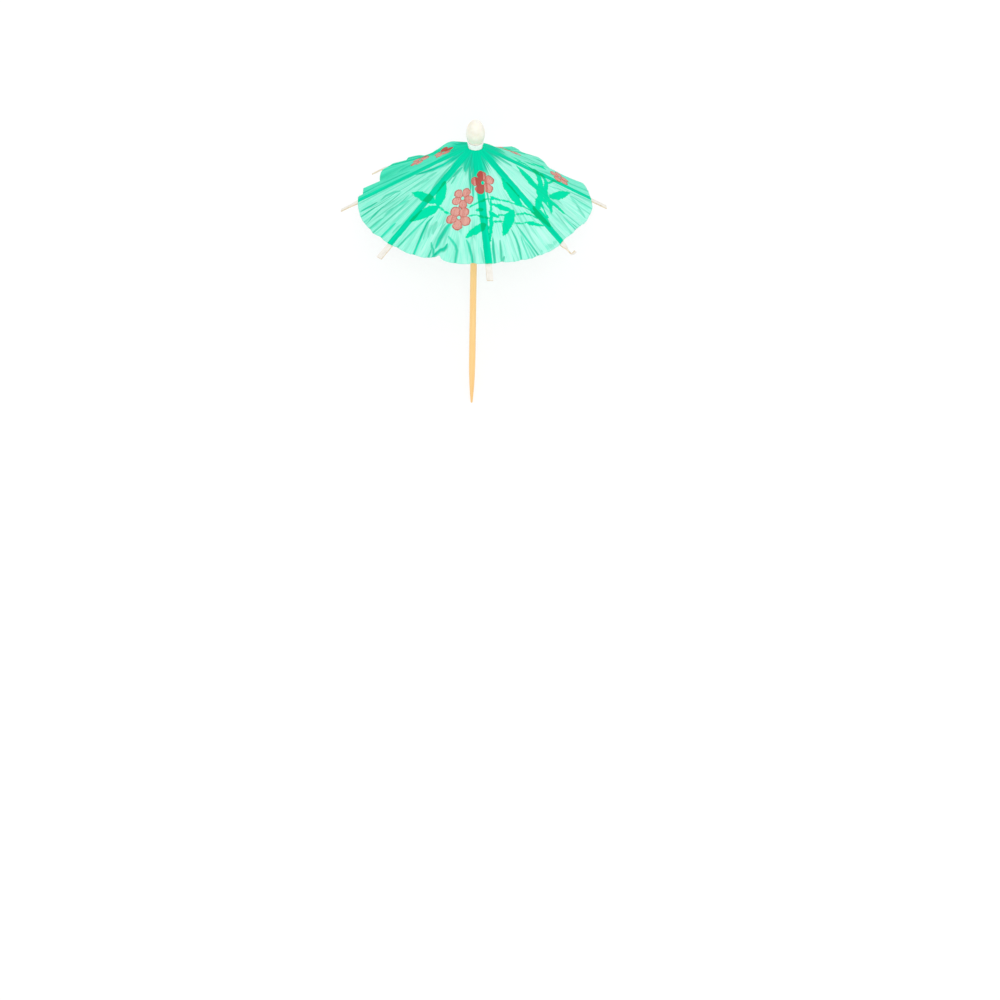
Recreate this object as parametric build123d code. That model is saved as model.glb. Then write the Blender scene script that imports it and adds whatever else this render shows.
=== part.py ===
"""Cocktail umbrella pick: a paper parasol that folds down along a wooden stick.

The stick stands on +Z with its point at the origin. Rib 1 points along -Y.
The umbrella is drawn open. Lengths are millimetres, angles are degrees.
"""

import os
from math import atan2, cos, degrees, hypot, radians, sin, tan

from build123d import *

# Whole object
overall_length = 100.0

# Wooden stick
stick_diameter = 2.0
stick_head_diameter = 1.9
stick_point_length = 16.0
stick_tip_diameter = 0.6
stick_top_chamfer = 0.25

# Oval bead on the top of the stick
bead_diameter = 5.76
bead_crown_height = 4.4
bead_belly_height = 3.8
bead_foot_diameter = 2.9
bead_cap_radius = 2.2
bead_bore_depth = 4.4

# Rolled newsprint sleeves, wound round the stick
newsprint_thickness = 0.12
newsprint_gap = 0.05
newsprint_turns = 3
collar_sleeve_length = 8.0
runner_sleeve_overhang = 0.6

# White paper bands glued round the sleeves, each with a lapped seam
band_thickness = 0.40
lap_thickness = 0.10
lap_angle = 70.0
collar_skirt_length = 2.0
collar_cup_height = 2.2
collar_flare_height = 1.4
collar_flare = 0.38
runner_length = 11.0
runner_head_length = 1.2

# Paperboard ribs and stretchers, glued on by eye, so that they aren't evenly spaced round the stick
rib_angles = [-90.0, -49.0, -1.0, 52.0, 95.0, 136.0, 173.0, 218.5]
board_thickness = 0.45
hinge_drop = 9.6
rib_length = 44.1
rib_width = 1.9
rib_slope = 30.0
rib_closed_angle = 7.0
stretcher_width = 1.2
stretcher_reach = 17.5

# Plastic ring that holds the runner up
ring_length = 3.0
ring_wall = 0.65
ring_edge_radius = 0.2

# Pleated tissue canopy, glued on the ribs; each bay, from one rib to the next, sags by its own amount
paper_thickness = 0.10
paper_radius = 35.8
paper_flat_half_angle = 2.5
pleats_per_half_gore = 7
pleat_height = 1.0
bay_sags = [0.0, 0.5, 2.8, 2.4, 2.0, 2.6, 0.5, 0.0]
seam_half_gap_angle = 0.1

# Clearances
slide_clearance = 0.06
hinge_clearance = 0.05
paper_fit = 0.02
glue_gap = 0.07
neighbour_gap = 0.2

# Sizes that follow from those above
next_angles = rib_angles[1:] + [rib_angles[0] + 360.0]
half_bays = [(after - angle) / 2 for angle, after in zip(rib_angles, next_angles)]
stick_radius = stick_diameter / 2
sleeve_bore_radius = stick_radius + slide_clearance
newsprint_pitch = newsprint_thickness + newsprint_gap
sleeve_radius = sleeve_bore_radius + newsprint_turns * newsprint_pitch + newsprint_thickness
band_bore_radius = sleeve_radius + paper_fit
band_radius = band_bore_radius + band_thickness
hinge_radius = band_radius + lap_thickness + hinge_clearance + board_thickness / 2
hinge_height = overall_length - hinge_drop

# The stretcher pivot hangs under the rib, so the arm from the hinge to it is a little steeper than the rib
pivot_offset = board_thickness + hinge_clearance
arm_length = hypot(stretcher_reach, pivot_offset)
arm_angle = 90.0 - rib_slope - degrees(atan2(pivot_offset, stretcher_reach))
pivot_radius = hinge_radius + arm_length * sin(radians(arm_angle))
pivot_height = hinge_height - arm_length * cos(radians(arm_angle))
runner_pivot_height = hinge_height - 2 * arm_length * cos(radians(arm_angle))

runner_top = runner_pivot_height + runner_head_length
runner_bottom = runner_top - runner_length
ring_top = runner_bottom - runner_sleeve_overhang - hinge_clearance
ring_bottom = ring_top - ring_length
bead_middle = overall_length - bead_crown_height
bead_foot = bead_middle - bead_belly_height
stick_top = bead_foot + bead_bore_depth - paper_fit
collar_rim = hinge_height + collar_cup_height
collar_foot = hinge_height - collar_skirt_length


def radial_plane():
    """Plane through the stick's axis: x is the distance from it and y is the height."""
    return Plane.XZ


def turned(outline):
    """Solid turned round the stick's axis from a closed outline."""
    return revolve(radial_plane() * make_face(outline), Axis.Z)


def make_stick():
    """Round stick with a long convex point, a plain grip and a head that thins a little towards the bead."""
    tip_radius = stick_tip_diameter / 2
    head_radius = stick_head_diameter / 2
    tip_corner = tip_radius * cos(radians(45))
    outline = ThreePointArc((0, 0), (tip_corner, tip_radius - tip_corner), (tip_radius, tip_radius))
    outline += TangentArc((stick_radius, stick_point_length), (tip_radius, tip_radius), tangent=(0, -1))
    outline += Polyline(
        (stick_radius, stick_point_length),
        (stick_radius, ring_bottom - hinge_clearance),
        (head_radius, stick_top - stick_top_chamfer),
        (head_radius - stick_top_chamfer, stick_top),
        (0, stick_top),
        (0, 0),
    )
    return turned(outline)


def make_finial_bead():
    """Oval bead, flat where it sits on the sleeve, with a blind bore for the stick."""
    bead_radius = bead_diameter / 2
    bore_radius = stick_radius + paper_fit
    bore_top = bead_foot + bead_bore_depth
    cap_lift = bead_crown_height - bead_cap_radius
    side_radius = (bead_radius**2 + cap_lift**2 - bead_cap_radius**2) / (2 * (bead_radius - bead_cap_radius))
    cap_angle = atan2(cap_lift, side_radius - bead_radius)
    shoulder = (
        bead_cap_radius * cos(cap_angle),
        bead_middle + cap_lift + bead_cap_radius * sin(cap_angle),
    )
    side = TangentArc((bead_radius, bead_middle), shoulder, tangent=(0, 1))
    cap = TangentArc((0, overall_length), shoulder, tangent=(1, 0))
    belly = TangentArc((bead_radius, bead_middle), (bead_foot_diameter / 2, bead_foot), tangent=(0, -1))
    inside = Polyline(
        (bead_foot_diameter / 2, bead_foot),
        (bore_radius, bead_foot),
        (bore_radius, bore_top),
        (0, bore_top),
        (0, overall_length),
    )
    return turned(side + cap + belly + inside)


def spiral_edge(start_radius):
    """Edge of the wound newsprint: half circles whose radius grows by half a pitch each half turn."""
    edge = Curve()
    for half_turn in range(2 * newsprint_turns):
        side = 1 if half_turn % 2 == 0 else -1
        from_x = side * (start_radius + half_turn * newsprint_pitch / 2)
        to_x = -side * (start_radius + (half_turn + 1) * newsprint_pitch / 2)
        top = ((from_x + to_x) / 2, side * abs(to_x - from_x) / 2)
        edge += ThreePointArc((from_x, 0), top, (to_x, 0))
    return edge


def make_newsprint_sleeve(bottom, length):
    """Strip of newsprint wound round the stick, seen from the end as a spiral."""
    outer_bore = sleeve_bore_radius + newsprint_thickness
    wound = newsprint_turns * newsprint_pitch
    outline = spiral_edge(sleeve_bore_radius) + spiral_edge(outer_bore)
    outline += Line((sleeve_bore_radius, 0), (outer_bore, 0))
    outline += Line((sleeve_bore_radius + wound, 0), (outer_bore + wound, 0))
    return Pos(0, 0, bottom) * extrude(make_face(outline), length)


def make_band(wall_outline, lap_outline):
    """Paper band round a sleeve, with the lapped end of the strip as a thin second layer."""
    lap_face = radial_plane() * make_face(lap_outline)
    return turned(wall_outline) + revolve(lap_face, Axis.Z, lap_angle)


def make_collar_band():
    """Band that carries the ribs; its top flares into a cup round the foot of the bead."""
    rim_radius = band_radius + collar_flare
    flare_start = collar_rim - collar_flare_height
    wall = Polyline(
        (band_bore_radius, collar_foot),
        (band_radius, collar_foot),
        (band_radius, flare_start),
        (rim_radius, collar_rim),
        (rim_radius - band_thickness, collar_rim),
        (band_bore_radius, flare_start),
        close=True,
    )
    lap = Polyline(
        (band_radius, collar_foot),
        (band_radius + lap_thickness, collar_foot),
        (band_radius + lap_thickness, flare_start),
        (rim_radius + lap_thickness, collar_rim),
        (rim_radius, collar_rim),
        (band_radius, flare_start),
        close=True,
    )
    return make_band(wall, lap)


def make_runner_band():
    """Band that slides on the stick and carries the feet of the stretchers."""
    wall = Polyline(
        (band_bore_radius, runner_bottom),
        (band_radius, runner_bottom),
        (band_radius, runner_top),
        (band_bore_radius, runner_top),
        close=True,
    )
    lap = Polyline(
        (band_radius, runner_bottom),
        (band_radius + lap_thickness, runner_bottom),
        (band_radius + lap_thickness, runner_top),
        (band_radius, runner_top),
        close=True,
    )
    return make_band(wall, lap)


def make_retaining_ring():
    """Slice of plastic tube with rounded edges."""
    tube = Cylinder(sleeve_bore_radius + ring_wall, ring_length) - Cylinder(sleeve_bore_radius, ring_length)
    outer_edges = tube.edges().filter_by(GeomType.CIRCLE).sort_by(SortBy.RADIUS)[-2:]
    return Pos(0, 0, ring_bottom + ring_length / 2) * fillet(outer_edges, ring_edge_radius)


def make_rib():
    """Paperboard strip along +X from a round hinge end, its root narrowed so that the shut ribs clear."""
    half_board = board_thickness / 2
    spread = tan(radians(min(half_bays)))
    closed = radians(rib_closed_angle)
    root_half_width = (hinge_radius - half_board) * spread - neighbour_gap
    full_width_radius = (rib_width / 2 + neighbour_gap) / spread
    root_length = (full_width_radius - hinge_radius + half_board) / sin(closed)
    rib_plane = Plane(
        origin=(hinge_radius, 0, hinge_height),
        x_dir=(cos(radians(rib_slope)), 0, -sin(radians(rib_slope))),
        z_dir=(sin(radians(rib_slope)), 0, cos(radians(rib_slope))),
    )
    side = Polyline((0, half_board), (rib_length, half_board), (rib_length, -half_board), (0, -half_board))
    side += ThreePointArc((0, -half_board), (-half_board, 0), (0, half_board))
    strip = extrude(Plane.XZ * make_face(side), rib_width / 2, both=True)
    outline = Polyline(
        (-board_thickness, -root_half_width),
        (0, -root_half_width),
        (root_length, -rib_width / 2),
        (rib_length + board_thickness, -rib_width / 2),
        (rib_length + board_thickness, rib_width / 2),
        (root_length, rib_width / 2),
        (0, root_half_width),
        (-board_thickness, root_half_width),
        close=True,
    )
    plan = extrude(make_face(outline), board_thickness, both=True)
    return rib_plane * (strip & plan)


def make_stretcher():
    """Paperboard strut with round ends, from the pivot under the rib to the pivot on the runner."""
    middle_radius = (pivot_radius + hinge_radius) / 2
    middle_height = (pivot_height + runner_pivot_height) / 2
    strut_plane = Plane(
        origin=(middle_radius, 0, middle_height),
        x_dir=(pivot_radius - hinge_radius, 0, pivot_height - runner_pivot_height),
        z_dir=(0, -1, 0),
    )
    strip = extrude(SlotCenterToCenter(arm_length, board_thickness), stretcher_width / 2, both=True)
    return strut_plane * strip


def crease_slopes(half_bay, bay_sag):
    """Angle from the rib and fall per unit of radius of each crease on one side, valleys and ridges by turns."""
    steepest = tan(radians(rib_slope))
    last_angle = half_bay - seam_half_gap_angle
    last_fall = bay_sag / paper_radius + steepest * (1 - cos(radians(half_bay)))
    creases = []
    for number in range(pleats_per_half_gore + 1):
        share = number / pleats_per_half_gore
        angle = paper_flat_half_angle + (last_angle - paper_flat_half_angle) * share
        fall = steepest * cos(radians(angle)) + last_fall * share**3
        if number % 2 == 1:
            fall -= pleat_height / paper_radius
        creases.append((angle, fall))
    return creases


def gore_section(x, bay_before, bay_after):
    """Corners of the pleated sheet's section at x along the rib: every crease runs to one point on the axis."""
    slope = radians(rib_slope)
    lowest = hinge_height + hinge_radius * tan(slope) + (board_thickness / 2 + glue_gap) / cos(slope)
    rise = paper_thickness / cos(slope)
    creases = [(-angle, fall) for angle, fall in reversed(crease_slopes(*bay_before))] + crease_slopes(*bay_after)
    lower = []
    for angle, fall in creases:
        lower.append((x, x * tan(radians(angle)), lowest - fall * x / cos(radians(angle))))
    upper = [(x, y, z + rise) for x, y, z in reversed(lower)]
    return lower + upper


def make_gore(bay_before, bay_after):
    """Stretch of pleated paper on one rib, cut round at the rim and round the collar."""
    inner_radius = band_radius + lap_thickness + hinge_clearance
    near = gore_section(inner_radius / 2, bay_before, bay_after)
    far = gore_section(paper_radius + rib_width, bay_before, bay_after)
    corners = [near, far]
    for number in range(len(near)):
        corners.append((near[number - 1], near[number], far[number], far[number - 1]))
    sheet = Solid(Shell([Face(Wire.make_polygon(points)) for points in corners]))
    tall = 2 * overall_length
    return sheet & (Cylinder(paper_radius, tall) - Cylinder(inner_radius, tall))


def save(name, solid):
    """Write one named piece."""
    export_step(solid, f"parts/{name}.step")


os.makedirs("parts", exist_ok=True)
save("stick", make_stick())
save("finial_bead", make_finial_bead())
save("collar_band", make_collar_band())
save("collar_sleeve", make_newsprint_sleeve(bead_foot - paper_fit - collar_sleeve_length, collar_sleeve_length))
save("runner_band", make_runner_band())
runner_sleeve_length = runner_length + 2 * runner_sleeve_overhang
save("runner_sleeve", make_newsprint_sleeve(runner_bottom - runner_sleeve_overhang, runner_sleeve_length))
save("retaining_ring", make_retaining_ring())
rib = make_rib()
stretcher = make_stretcher()
bays = list(zip(half_bays, bay_sags))
for number, angle in enumerate(rib_angles):
    gore = make_gore(bays[number - 1], bays[number])
    save(f"rib_{number + 1}", rib.rotate(Axis.Z, angle))
    save(f"stretcher_{number + 1}", stretcher.rotate(Axis.Z, angle))
    save(f"canopy_gore_{number + 1}", gore.rotate(Axis.Z, angle))
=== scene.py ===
from math import cos, radians, sin, tan

import bmesh
import bpy
import numpy as np
from mathutils import Matrix, Vector


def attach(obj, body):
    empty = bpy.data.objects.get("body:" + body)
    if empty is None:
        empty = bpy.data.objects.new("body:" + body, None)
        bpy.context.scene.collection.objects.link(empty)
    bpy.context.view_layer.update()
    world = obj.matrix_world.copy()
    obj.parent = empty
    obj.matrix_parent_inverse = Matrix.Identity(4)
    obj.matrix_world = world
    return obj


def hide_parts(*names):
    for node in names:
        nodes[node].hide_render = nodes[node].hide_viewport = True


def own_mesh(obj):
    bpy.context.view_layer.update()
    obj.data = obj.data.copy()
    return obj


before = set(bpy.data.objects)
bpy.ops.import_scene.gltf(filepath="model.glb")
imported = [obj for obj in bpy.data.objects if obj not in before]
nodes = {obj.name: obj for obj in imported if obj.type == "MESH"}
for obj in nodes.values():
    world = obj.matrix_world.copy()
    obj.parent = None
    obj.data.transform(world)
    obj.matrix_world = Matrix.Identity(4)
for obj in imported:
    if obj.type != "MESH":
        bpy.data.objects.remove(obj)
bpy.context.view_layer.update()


# Stick. A round pick of pale wood, turned, sanded and left bare, with a long point at its foot.
# Everything else is threaded on it from the top, and the bead closes it.
mm = 0.001
wood_pale = (248, 208, 142)
wood_warm = (245, 198, 128)
wood_dark = (229, 175, 101)
stick_point = 16.0 * mm


def linear(red, green, blue):
    """A colour as a screen shows it, 0 to 255, turned into Blender's linear colour."""
    shares = [channel / 255 for channel in (red, green, blue)]
    return (*[s / 12.92 if s <= 0.04045 else ((s + 0.055) / 1.055) ** 2.4 for s in shares], 1.0)


def put(tree, kind, inputs=None, **settings):
    """A new node with its settings made and its sockets given a value or a link."""
    made = tree.nodes.new(kind)
    for setting, value in settings.items():
        setattr(made, setting, value)
    for socket, value in (inputs or {}).items():
        if isinstance(value, bpy.types.NodeSocket):
            tree.links.new(value, made.inputs[socket])
        else:
            made.inputs[socket].default_value = value
    return made


def start_finish(name, roughness):
    """A new material; gives it back with its node tree and its shader."""
    finish = bpy.data.materials.new(name)
    finish.use_nodes = True
    shader = finish.node_tree.nodes["Principled BSDF"]
    shader.inputs["Roughness"].default_value = roughness
    return finish, finish.node_tree, shader


def object_place(tree):
    """Where a point of the surface is on the piece, in metres."""
    return put(tree, "ShaderNodeTexCoord").outputs["Object"]


def stretched(tree, place, across, along):
    """The place with detail this many times finer than a metre, across the stick and along it."""
    scale = (across, across, along)
    return put(tree, "ShaderNodeMapping", {"Vector": place, "Scale": scale}).outputs["Vector"]


def noise(tree, place, scale, detail=3.0, roughness=0.55):
    """Soft irregular value round one half."""
    settings = {"Vector": place, "Scale": scale, "Detail": detail, "Roughness": roughness}
    return put(tree, "ShaderNodeTexNoise", settings).outputs["Fac"]


def between(tree, value, low, high, to_low=0.0, to_high=1.0):
    """The value's way from low to high, eased at both ends."""
    settings = {"Value": value, "From Min": low, "From Max": high, "To Min": to_low, "To Max": to_high}
    return put(tree, "ShaderNodeMapRange", settings, interpolation_type="SMOOTHSTEP").outputs["Result"]


def mixed(tree, share, first, second):
    """First colour turning into the second by share; a colour is a socket or three numbers of a screen."""
    node = put(tree, "ShaderNodeMix", data_type="RGBA")
    for socket, value in ((0, share), (6, first), (7, second)):
        if isinstance(value, bpy.types.NodeSocket):
            tree.links.new(value, node.inputs[socket])
        elif socket == 0:
            node.inputs[socket].default_value = value
        else:
            node.inputs[socket].default_value = linear(*value)
    return node.outputs[2]


def combine(tree, operation, first, second=0.0):
    """Two values put together."""
    return put(tree, "ShaderNodeMath", {0: first, 1: second}, operation=operation).outputs["Value"]


def roughen(tree, shader, height, distance, strength=0.6):
    """Fine relief on a surface, this many metres deep."""
    settings = {"Height": height, "Distance": distance, "Strength": strength}
    tree.links.new(put(tree, "ShaderNodeBump", settings).outputs["Normal"], shader.inputs["Normal"])


def dress(node, finish):
    """A finish for a carried-over solid."""
    node.data.materials.clear()
    node.data.materials.append(finish)


wood, tree, shader = start_finish("stick_wood", 0.6)
place = object_place(tree)
grain = noise(tree, stretched(tree, place, 4200, 90), 1.0, 5.0, 0.6)
pores = noise(tree, stretched(tree, place, 9500, 260), 1.0, 2.0, 0.5)
tone = noise(tree, stretched(tree, place, 350, 26), 1.0, 2.0, 0.5)
body = mixed(tree, between(tree, grain, 0.32, 0.68), wood_pale, wood_warm)
body = mixed(tree, between(tree, pores, 0.60, 0.74, 0.0, 0.40), body, wood_dark)
body = mixed(tree, between(tree, tone, 0.35, 0.75, 0.0, 0.35), body, wood_warm)
height_on_stick = put(tree, "ShaderNodeSeparateXYZ", {"Vector": place}).outputs["Z"]
cut_grain = between(tree, height_on_stick, stick_point, 0.0, 0.0, 0.30)
body = mixed(tree, cut_grain, body, wood_dark)
tree.links.new(body, shader.inputs["Base Color"])
tree.links.new(between(tree, grain, 0.3, 0.7, 0.52, 0.72), shader.inputs["Roughness"])
roughen(tree, shader, combine(tree, "ADD", grain, pores), 0.03 * mm, 0.5)
dress(nodes["stick"], wood)


# Newsprint sleeves. Strips of thin grey paper wound three times round the stick, the plain
# bearing inside each white band. Only their ends and coils show, from underneath.
newsprint_pale = (214, 208, 194)
newsprint_grey = (176, 170, 158)


def make_paper_fibre():
    """Node group for every paper here: cloudy tone and matted relief from one place and size."""
    group = bpy.data.node_groups.new("paper_fibre", "ShaderNodeTree")
    group.interface.new_socket("Place", in_out="INPUT", socket_type="NodeSocketVector")
    group.interface.new_socket("Fineness", in_out="INPUT", socket_type="NodeSocketFloat")
    group.interface.new_socket("Cloud", in_out="OUTPUT", socket_type="NodeSocketFloat")
    group.interface.new_socket("Relief", in_out="OUTPUT", socket_type="NodeSocketFloat")
    given = put(group, "NodeGroupInput")
    place = given.outputs["Place"]
    fineness = given.outputs["Fineness"]
    cloud = noise(group, place, combine(group, "MULTIPLY", fineness, 0.22), 4.0, 0.6)
    matted = noise(group, place, fineness, 3.0, 0.7)
    strands = put(
        group,
        "ShaderNodeTexVoronoi",
        {"Vector": place, "Scale": combine(group, "MULTIPLY", fineness, 1.7)},
        feature="DISTANCE_TO_EDGE",
    )
    relief = combine(group, "ADD", matted, combine(group, "MULTIPLY", strands.outputs["Distance"], 0.5))
    put(group, "NodeGroupOutput", {"Cloud": cloud, "Relief": relief})
    return group


paper_fibre = make_paper_fibre()


def fibre(tree, place, fineness):
    """The paper group, placed in a material."""
    placed = put(tree, "ShaderNodeGroup", node_tree=paper_fibre)
    tree.links.new(place, placed.inputs["Place"])
    placed.inputs["Fineness"].default_value = fineness
    return placed.outputs["Cloud"], placed.outputs["Relief"]


newsprint, tree, shader = start_finish("newsprint", 0.9)
cloud, relief = fibre(tree, object_place(tree), 5200)
tree.links.new(
    mixed(tree, between(tree, cloud, 0.3, 0.7), newsprint_pale, newsprint_grey),
    shader.inputs["Base Color"],
)
roughen(tree, shader, relief, 0.03 * mm)
dress(nodes["collar_sleeve"], newsprint)
dress(nodes["runner_sleeve"], newsprint)


# Collar and runner bands. White paper strip rolled round each sleeve and lapped on itself with glue.
# The collar's top is flared into a cup for the bead; the runner slides and carries the stretchers.
band_white = (250, 251, 250)
band_shade = (232, 236, 234)

band_paper, tree, shader = start_finish("band_paper", 0.85)
place = object_place(tree)
cloud, relief = fibre(tree, place, 4200)
rolled = noise(tree, stretched(tree, place, 2600, 70), 1.0, 3.0, 0.6)
paper = mixed(tree, between(tree, cloud, 0.35, 0.7, 0.0, 0.35), band_white, band_shade)
paper = mixed(tree, between(tree, rolled, 0.56, 0.72, 0.0, 0.8), paper, band_shade)
tree.links.new(paper, shader.inputs["Base Color"])
tree.links.new(between(tree, cloud, 0.3, 0.7, 0.78, 0.92), shader.inputs["Roughness"])
roughen(tree, shader, combine(tree, "ADD", relief, rolled), 0.05 * mm)
dress(nodes["collar_band"], band_paper)
dress(nodes["runner_band"], band_paper)


# Ribs. Eight strips cut from white-faced paperboard, creased at the collar so that they hinge there.
# The paper is glued on top; each bare end stands out past its rim, and some ends are bent or peeled.
# Sizes of the ribs and of the canopy are in mm and degrees.
rib_count = 8
rib_lengths = [44.1, 44.1, 44.1, 39.5, 44.1, 42.7, 44.1, 44.1]
rib_half_width = 0.95
rib_root_half_width = 0.556
rib_root_length = 9.66
board_thickness = 0.45
rib_cut_softness = 0.05
hinge_radius = 2.485
hinge_height = 90.4
rib_slope = 30.0
rib_angles = [-90.0, -49.0, -1.0, 52.0, 95.0, 136.0, 173.0, 218.5]
bare_start = 38.6
hook_length = 1.3
hook_slack = 0.01
twist_run = 2.5
ply_thickness = 0.11
ply_overhang = 0.15
ply_narrowing = 0.97
ply_flare = 0.06
board_white = (234, 231, 223)
board_grey = (221, 217, 206)
board_core = (230, 217, 192)
board_core_dark = (196, 172, 136)
rib_steps_across = 4
rib_steps_along = 60
# How each bare end is left, in degrees: turned about its length, hooked up at the tip, its top ply
# peeled, and bent down
rib_ends = [
    (-6, 0, 0, 13),
    (-43, 100, 0, 0),
    (0, 0, 0, 0),
    (5, 0, 0, 0),
    (-4, 0, 6, 0),
    (6, 0, 0, 10),
    (9, 0, 0, 0),
    (-5, 0, 0, 0),
]


def make_board(name, core):
    """Paperboard: pale faces, or the brown layered cut of its edges."""
    finish, tree, shader = start_finish(name, 0.85)
    place = object_place(tree)
    cloud, relief = fibre(tree, place, 5000 if core else 3600)
    first = board_core if core else board_white
    second = board_core_dark if core else board_grey
    tree.links.new(
        mixed(tree, between(tree, cloud, 0.35, 0.75, 0.0, 0.8), first, second),
        shader.inputs["Base Color"],
    )
    roughen(tree, shader, relief, 0.06 * mm if core else 0.03 * mm)
    return finish


board_face = make_board("rib_board_face", False)
board_cut = make_board("rib_board_cut", True)


def rib_place(angle):
    """From a strip lying along X at the origin to its place on the collar."""
    turn = Matrix.Rotation(radians(angle), 4, "Z")
    stand = Matrix.Translation(Vector((hinge_radius, 0, hinge_height)) * mm)
    return turn @ stand @ Matrix.Rotation(radians(rib_slope), 4, "Y")


def cut_strip(bm, start, end, half_width_at, top, thickness):
    """A board strip from start to end, its cut sides marked for the second finish."""
    made = bmesh.ops.create_grid(
        bm, x_segments=rib_steps_along, y_segments=rib_steps_across, size=0.5
    )["verts"]
    faces = list(dict.fromkeys(face for vert in made for face in vert.link_faces))
    for vert in made:
        along = start + (vert.co.x + 0.5) * (end - start)
        vert.co = Vector((along, vert.co.y * 2 * half_width_at(along), top))
    extruded = bmesh.ops.extrude_face_region(bm, geom=faces)["geom"]
    under = [item for item in extruded if isinstance(item, bmesh.types.BMVert)]
    bmesh.ops.translate(bm, verts=under, vec=(0, 0, -thickness))
    strip = list(dict.fromkeys(face for vert in made + under for face in vert.link_faces))
    bmesh.ops.recalc_face_normals(bm, faces=strip)
    for face in strip:
        face.material_index = 0 if abs(face.normal.z) > 0.5 else 1
    return made + under


def make_rib(number):
    """One rib with its own bare end."""
    twist, hook, peel, droop = rib_ends[number]
    rib_length = rib_lengths[number]
    hook_start = rib_length - hook_length
    bm = bmesh.new()

    def rib_half(along):
        return rib_root_half_width + (rib_half_width - rib_root_half_width) * min(along / rib_root_length, 1)

    def ply_half(along):
        return rib_half_width * (ply_narrowing + ply_flare * (along - bare_start))

    strip = cut_strip(bm, -board_thickness / 2, rib_length, rib_half, board_thickness / 2, board_thickness)
    if hook:
        fold = Matrix.Rotation(radians(-hook), 3, "Y")
        crease = Vector((hook_start, 0, board_thickness / 2))
        for vert in strip:
            if vert.co.x > hook_start + hook_slack:
                vert.co = crease + fold @ (vert.co - crease)
    if peel:
        ply_top = board_thickness / 2 + ply_thickness
        ply = cut_strip(bm, bare_start, rib_length + ply_overhang, ply_half, ply_top, ply_thickness)
        for vert in ply:
            bent = max(0.0, vert.co.x - bare_start) / (rib_length - bare_start)
            vert.co.z += tan(radians(peel)) * bent**2 * (rib_length - bare_start)
        strip += ply
    for vert in strip:
        share = min(max((vert.co.x - bare_start) / twist_run, 0.0), 1.0)
        turned = Matrix.Rotation(radians(twist) * share * share * (3 - 2 * share), 3, "X")
        vert.co = turned @ vert.co
        vert.co.z -= tan(radians(droop)) * max(0.0, vert.co.x - bare_start)
    sharp = [edge for edge in bm.edges if len({face.material_index for face in edge.link_faces}) == 2]
    bmesh.ops.bevel(
        bm,
        geom=sharp,
        offset=rib_cut_softness,
        segments=2,
        profile=0.5,
        affect="EDGES",
        material=-1,
        clamp_overlap=True,
    )
    bmesh.ops.scale(bm, vec=(mm, mm, mm), verts=bm.verts)
    bmesh.ops.transform(bm, matrix=rib_place(rib_angles[number]), verts=bm.verts)
    mesh = bpy.data.meshes.new(f"rib_strip_{number + 1}")
    bm.to_mesh(mesh)
    bm.free()
    mesh.materials.append(board_face)
    mesh.materials.append(board_cut)
    piece = bpy.data.objects.new(f"rib_strip_{number + 1}", mesh)
    bpy.context.scene.collection.objects.link(piece)
    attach(piece, f"rib_{number + 1}")
    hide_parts(f"rib_{number + 1}")


for number in range(rib_count):
    make_rib(number)


# Stretchers. Narrow struts of the same board, each glued under its rib and to the runner, creased
# at both ends so that they turn there when the runner slides.
stretcher_board, tree, shader = start_finish("stretcher_board", 0.85)
place = object_place(tree)
cloud, relief = fibre(tree, place, 3600)
upright = (0, 0, 1)
sideways = put(tree, "ShaderNodeVectorMath", {0: upright, 1: place}, operation="CROSS_PRODUCT")
sideways = put(tree, "ShaderNodeVectorMath", {0: sideways.outputs["Vector"]}, operation="NORMALIZE")
sideways = sideways.outputs["Vector"]
facing = put(tree, "ShaderNodeTexCoord").outputs["Normal"]
cut_side = put(tree, "ShaderNodeVectorMath", {0: sideways, 1: facing}, operation="DOT_PRODUCT")
cut_side = cut_side.outputs["Value"]
cut_side = between(tree, combine(tree, "ABSOLUTE", cut_side), 0.6, 0.8)
face = mixed(tree, between(tree, cloud, 0.35, 0.75, 0.0, 0.8), board_white, board_grey)
core = mixed(tree, between(tree, cloud, 0.35, 0.75, 0.0, 0.8), board_core, board_core_dark)
tree.links.new(mixed(tree, cut_side, face, core), shader.inputs["Base Color"])
roughen(tree, shader, relief, 0.04 * mm)
for number in range(1, rib_count + 1):
    dress(nodes[f"stretcher_{number}"], stretcher_board)


# Retaining ring. A slice of milky plastic tube that grips the stick under the runner and is pushed
# up by hand to keep the umbrella open.
ring_milky = (238, 238, 233)
ring_grey = (222, 223, 220)

ring_plastic, tree, shader = start_finish("ring_plastic", 0.38)
place = object_place(tree)
drawn = noise(tree, stretched(tree, place, 2400, 120), 1.0, 3.0, 0.55)
milky = mixed(tree, between(tree, drawn, 0.35, 0.7), ring_milky, ring_grey)
tree.links.new(milky, shader.inputs["Base Color"])
tree.links.new(between(tree, drawn, 0.3, 0.7, 0.30, 0.46), shader.inputs["Roughness"])
roughen(tree, shader, drawn, 0.015 * mm, 0.4)
dress(nodes["retaining_ring"], ring_plastic)


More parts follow.
